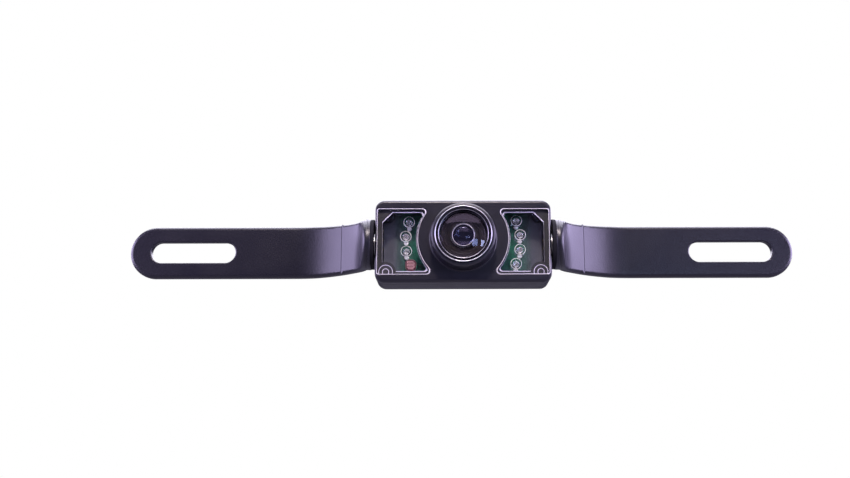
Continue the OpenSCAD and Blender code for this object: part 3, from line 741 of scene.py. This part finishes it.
# ---------------------------------------------------------------- photocell
# A small light sensor takes the place of the eighth lamp: a dark red disc with flat sides and
# a winding pale track on its face, on two stiff legs.
cell_x, cell_z = on_arc(cell_turn)
cell_low, cell_high = (Vector(c) * 1000 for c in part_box("photocell"))
cell_face = cell_low.y
cell_r, cell_flat = 3, 2.6
disc = turned([(0, cell_high.y, 0), (cell_r, cell_high.y, 0.2), (cell_r, cell_face + 0.12, 0.25),
               (0, cell_face + 0.12, 0)], 48, (cell_x, cell_z))
for v in disc.verts:
    v.co.x = min(max(v.co.x, cell_x - cell_flat), cell_x + cell_flat)
ceramic = grained_plastic("cell_ceramic", (0.075, 0.022, 0.027), 0.4, 0.00002)
piece(disc, "cell_disc", "camera_head", "photocell_face", ceramic, "photocell")
track = bmesh.new()
bar_w, bar_t, bar_pitch = 0.34, 0.09, 0.72
bars = []
for k in range(6):
    z = cell_z - 1.8 + bar_pitch * k
    reach = 1.8 if 0 < k < 5 else 1.3
    bars.append(((2 * reach, bar_t, bar_w), (cell_x, z)))
    if k < 5:
        end = reach - bar_w / 2
        bars.append(((bar_w, bar_t, 1), (cell_x + (end if k % 2 else -end), z + bar_pitch / 2)))
for size, (x, z) in bars:
    made = bmesh.ops.create_cube(track, size=1)["verts"]
    bmesh.ops.scale(track, verts=made, vec=size)
    bmesh.ops.translate(track, verts=made, vec=(x, cell_face + bar_t, z))
cadmium = grained_plastic("cell_track", (0.2, 0.1, 0.105), 0.3, 0.00002)
piece(track, "cell_track", "camera_head", "photocell_face", cadmium)

# ---------------------------------------------------------------- lens bezel
# A polished black ring is pressed into the turret over the cover glass. Three thin rings of bright
# metal, on its outer and inner edges and a third deeper behind the glass, are painted highlights
# that stand for the light its crisp edges catch.
bezel_front, bezel_r, bezel_bore = turret_front - 1.2, 13.55, 11.65
lip_r, lip_back = 12.25, turret_front + 1.12


def polished(name, colour, rough):
    """Smooth hard plastic or anodised metal with faint polishing marks and dust."""
    mat = bpy.data.materials.new(name)
    mat.use_nodes = True
    tree = mat.node_tree
    skin = tree.nodes["Principled BSDF"]
    place = tree.nodes.new("ShaderNodeTexCoord")
    dust, wave = tree.nodes.new("ShaderNodeTexNoise"), tree.nodes.new("ShaderNodeTexNoise")
    dust.inputs["Scale"].default_value, wave.inputs["Scale"].default_value = 1400, 120
    for noise in (dust, wave):
        tree.links.new(place.outputs["Object"], noise.inputs["Vector"])
    shade = tree.nodes.new("ShaderNodeMix")
    shade.data_type = "RGBA"
    shade.inputs["A"].default_value = (*colour, 1)
    shade.inputs["B"].default_value = (*[c * 1.6 + 0.003 for c in colour], 1)
    tree.links.new(wave.outputs["Fac"], shade.inputs["Factor"])
    tree.links.new(shade.outputs["Result"], skin.inputs["Base Color"])
    gloss = tree.nodes.new("ShaderNodeMapRange")
    gloss.inputs["From Min"].default_value, gloss.inputs["From Max"].default_value = 0.3, 0.75
    gloss.inputs["To Min"].default_value, gloss.inputs["To Max"].default_value = rough, rough + 0.12
    tree.links.new(dust.outputs["Fac"], gloss.inputs["Value"])
    tree.links.new(gloss.outputs["Result"], skin.inputs["Roughness"])
    bump = tree.nodes.new("ShaderNodeBump")
    bump.inputs["Strength"].default_value, bump.inputs["Distance"].default_value = 0.15, 0.00001
    tree.links.new(wave.outputs["Fac"], bump.inputs["Height"])
    tree.links.new(bump.outputs["Normal"], skin.inputs["Normal"])
    return mat


piano_black = polished("piano_black", (0.006, 0.006, 0.008), 0.06)
piece(turned([(bezel_r, bezel_seat, 0), (bezel_r, bezel_front, 0.45),
              (bezel_bore, bezel_front + 0.15, 0.35), (bezel_bore, lip_back, 0), (lip_r, lip_back, 0),
              (lip_r, bezel_seat, 0)],
             128), "bezel_ring", "camera_head", "gloss_black", piano_black, "lens_bezel", smooth=30)

# Painted highlights: thin bright metal rings laid on the bezel's edges and one behind the glass.
bezel_highlight_metal = plated("bright_trim", (0.75, 0.74, 0.78), 0.3)
highlight_rings = [turned([(r + c * math.cos(math.radians(60 * k)), y - c * math.sin(math.radians(60 * k)), 0)
                 for k in range(6)], 128)
         for r, y, c in ((13.3, bezel_front + 0.26, 0.24), (11.8, bezel_front + 0.36, 0.17),
                         (9.55, turret_front + 3.1, 0.09))]
piece(join(highlight_rings[0], *highlight_rings[1:]), "bezel_trim", "camera_head", "silver_leads", bezel_highlight_metal, smooth=70)

# ---------------------------------------------------------------- cover glass
# A thin dome of hard glass closes the turret and seals on an O-ring. Its coating gives a faint
# blue and violet reflection.
glass_back, glass_edge = turret_front + 2.8, turret_front + 1.1
glass_r, dome_r, dome_rise, hollow_r, hollow_rise = 12.2, 11.6, 1.6, 10.9, 1.4


def dome(rim_r, rim_y, rise, steps=14):
    """Points of a spherical surface from its rim to the axis, bulging towards the front."""
    big = (rim_r ** 2 + rise ** 2) / (2 * rise)
    top = math.asin(rim_r / big)
    return [(big * math.sin(top * k / steps), rim_y - rise + big - big * math.cos(top * k / steps), 0)
            for k in range(steps, -1, -1)]


coated_glass = clear_stuff("coated_glass", (0.93, 0.93, 0.97), 1.45, 0.0)
coated_glass.node_tree.nodes["Principled BSDF"].inputs["Specular Tint"].default_value = (0.85, 0.8, 1, 1)
lets_light_in(piece(turned([(hollow_r, glass_back, 0), (glass_r, glass_back, 0.1),
                            (glass_r, glass_edge, 0.1)]
                           + dome(dome_r, glass_edge, dome_rise)
                           + dome(hollow_r, glass_back - 0.6, hollow_rise)[::-1], 96),
                    "glass_dome", "camera_head", "lens_glass", coated_glass, "cover_glass", smooth=25))

# ---------------------------------------------------------------- lens baffle
# A matt black ring steps down from the glass to the lens barrel and keeps stray light out.
baffle_back, baffle_r, barrel_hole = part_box("lens_baffle")[1][1] * 1000, 10.8, 6.06
steps = [(baffle_r, 2.8), (10.35, 2.8), (9.9, 2.3), (9.2, 2.3), (8.7, 1.8), (7.9, 1.8), (7.4, 1.3),
         (barrel_hole, 1.3)]
baffle_black = grained_plastic("baffle_black", (0.005, 0.003, 0.003), 0.5, 0.00002)
baffle_black.node_tree.nodes["Principled BSDF"].inputs["Specular IOR Level"].default_value = 0.15
piece(turned([(barrel_hole, baffle_back, 0), (baffle_r, baffle_back, 0)]
             + [(r, baffle_back - h, 0.08) for r, h in steps], 96),
      "stepped_baffle", "camera_head", "inner_black", baffle_black, "lens_baffle", smooth=30)

# ---------------------------------------------------------------- lens barrel and elements
# The lens itself is a black anodised barrel with a fine thread. A slotted ring holds its coated front
# element, and a spacer and two more elements sit behind. The ring is all bright metal: a painted
# highlight that stands for the light its edge catches.
barrel_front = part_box("lens_barrel")[0][1] * 1000
ring_inner, ring_outer = 5.05, 5.3
anodised = polished("anodised", (0.012, 0.012, 0.014), 0.22)
# The retaining ring's bright metal is a painted highlight.
ring_highlight_metal = plated("ring_edge", (0.7, 0.68, 0.74), 0.35)
piece(turned([(ring_inner, barrel_front + 0.8, 0), (ring_outer, barrel_front + 0.8, 0),
              (ring_outer, barrel_front - 0.2, 0.08), (ring_inner, barrel_front - 0.2, 0.08)], 96),
      "retaining_ring", "camera_head", "black_anodised", ring_highlight_metal, "lens_retaining_ring", smooth=30)
element_low, element_high = (Vector(c) * 1000 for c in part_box("front_element"))
lens_coat = clear_stuff("lens_coating", (0.9, 0.9, 1.0), 1.6, 0.0)
lens_coat.node_tree.nodes["Principled BSDF"].inputs["Specular Tint"].default_value = (0.8, 0.75, 1, 1)
piece(turned([(0, element_high.y, 0), (ring_outer, element_high.y, 0),
              (ring_outer, element_low.y + 0.9, 0.05)]
             + dome(4.5, element_low.y + 0.9, 0.9), 72),
      "front_lens", "camera_head", "lens_glass", lens_coat, "front_element", smooth=25)

# ---------------------------------------------------------------- pieces kept as designed
# The boards, chips, seals, screws and washers keep their designed shapes. Each takes the finish of
# its kind: solder mask, nitrile or cork rubber, plain steel, turned brass or moulded black.


def solder_mask(name):
    """Green lacquer over copper: broad tracks and mottled laminate show through it. Towards the outer ends it
    turns dark slate, a painted shade.
    """
    mat = bpy.data.materials.new(name)
    mat.use_nodes = True
    tree = mat.node_tree
    skin = tree.nodes["Principled BSDF"]
    skin.inputs["Roughness"].default_value = 0.3
    skin.inputs["Coat Weight"].default_value = 0.4
    place = tree.nodes.new("ShaderNodeTexCoord")
    tracks, weave = tree.nodes.new("ShaderNodeTexVoronoi"), tree.nodes.new("ShaderNodeTexNoise")
    tracks.feature = "DISTANCE_TO_EDGE"
    tracks.inputs["Scale"].default_value, weave.inputs["Scale"].default_value = 520, 700
    for texture in (tracks, weave):
        tree.links.new(place.outputs["Object"], texture.inputs["Vector"])
    step = tree.nodes.new("ShaderNodeMapRange")
    step.inputs["From Min"].default_value, step.inputs["From Max"].default_value = 0.05, 0.09
    tree.links.new(tracks.outputs["Distance"], step.inputs["Value"])
    copper = tree.nodes.new("ShaderNodeMix")
    copper.data_type = "RGBA"
    copper.inputs["A"].default_value = (0.003, 0.06, 0.035, 1)
    copper.inputs["B"].default_value = (0.004, 0.09, 0.05, 1)
    tree.links.new(step.outputs["Result"], copper.inputs["Factor"])
    # Beyond about 27 mm either side of the middle the colour fades to dark slate: painted shade for the outer end
    # of each window well.
    parts, side, shade_fade = (tree.nodes.new("ShaderNode" + kind)
                         for kind in ("SeparateXYZ", "Math", "MapRange"))
    side.operation = "ABSOLUTE"
    shade_fade.inputs["From Min"].default_value, shade_fade.inputs["From Max"].default_value = 0.0265, 0.034
    tree.links.new(place.outputs["Object"], parts.inputs["Vector"])
    tree.links.new(parts.outputs["X"], side.inputs[0])
    tree.links.new(side.outputs[0], shade_fade.inputs["Value"])
    outer = tree.nodes.new("ShaderNodeMix")
    outer.data_type = "RGBA"
    outer.inputs["B"].default_value = (0.066, 0.067, 0.085, 1)
    tree.links.new(shade_fade.outputs["Result"], outer.inputs["Factor"])
    tree.links.new(copper.outputs["Result"], outer.inputs["A"])
    tree.links.new(outer.outputs["Result"], skin.inputs["Base Color"])
    bump = tree.nodes.new("ShaderNodeBump")
    bump.inputs["Strength"].default_value, bump.inputs["Distance"].default_value = 0.4, 0.00004
    tree.links.new(step.outputs["Result"], bump.inputs["Height"])
    tree.links.new(bump.outputs["Normal"], skin.inputs["Normal"])
    return mat


green_board = solder_mask("green_board")
rubber = grained_plastic("nitrile_rubber", (0.012, 0.012, 0.013), 0.62, 0.00003, 1800)
cork_rubber = grained_plastic("cork_rubber", (0.003, 0.003, 0.004), 0.8, 0.00005, 1800)
cork_rubber.node_tree.nodes["Principled BSDF"].inputs["Specular IOR Level"].default_value = 0.1
steel = plated("plain_steel", (0.62, 0.62, 0.64), 0.3)
turned_brass = plated("turned_brass", (0.72, 0.52, 0.22), 0.28)
moulded_black = grained_plastic("moulded_black", (0.015, 0.014, 0.018), 0.5, 0.00003)
chip_black = grained_plastic("chip_black", (0.025, 0.025, 0.028), 0.45, 0.00002)
ivory = grained_plastic("ivory_nylon", (0.72, 0.69, 0.58), 0.45, 0.00003)
kept = {
    # The light masks are dark plates at the outer end of each window well that take the board's slate end: painted
    # shade.
    green_board: ["led_board", "camera_board", "light_masks"],
    rubber: ["housing_gasket", "window_seals", "glass_o_ring", "cable_gland"],
    cork_rubber: ["left_friction_disc", "right_friction_disc"],
    steel: ["board_screws", "housing_screws", "thrust_washers", "left_pivot_screw", "right_pivot_screw"],
    turned_brass: ["pivot_inserts"],
    moulded_black: ["lens_holder"],
    chip_black: ["image_sensor", "board_chips", "led_resistors"],
    ivory: ["cable_connector"],
    anodised: ["lens_barrel", "element_spacer"],
    lens_coat: ["middle_element", "rear_element", "sensor_filter"],
    silver: ["photocell_legs"],
}
for finish, names in kept.items():
    for name in names:
        node = frame["nodes"][name]
        node.data.materials.clear()
        node.data.materials.append(finish)
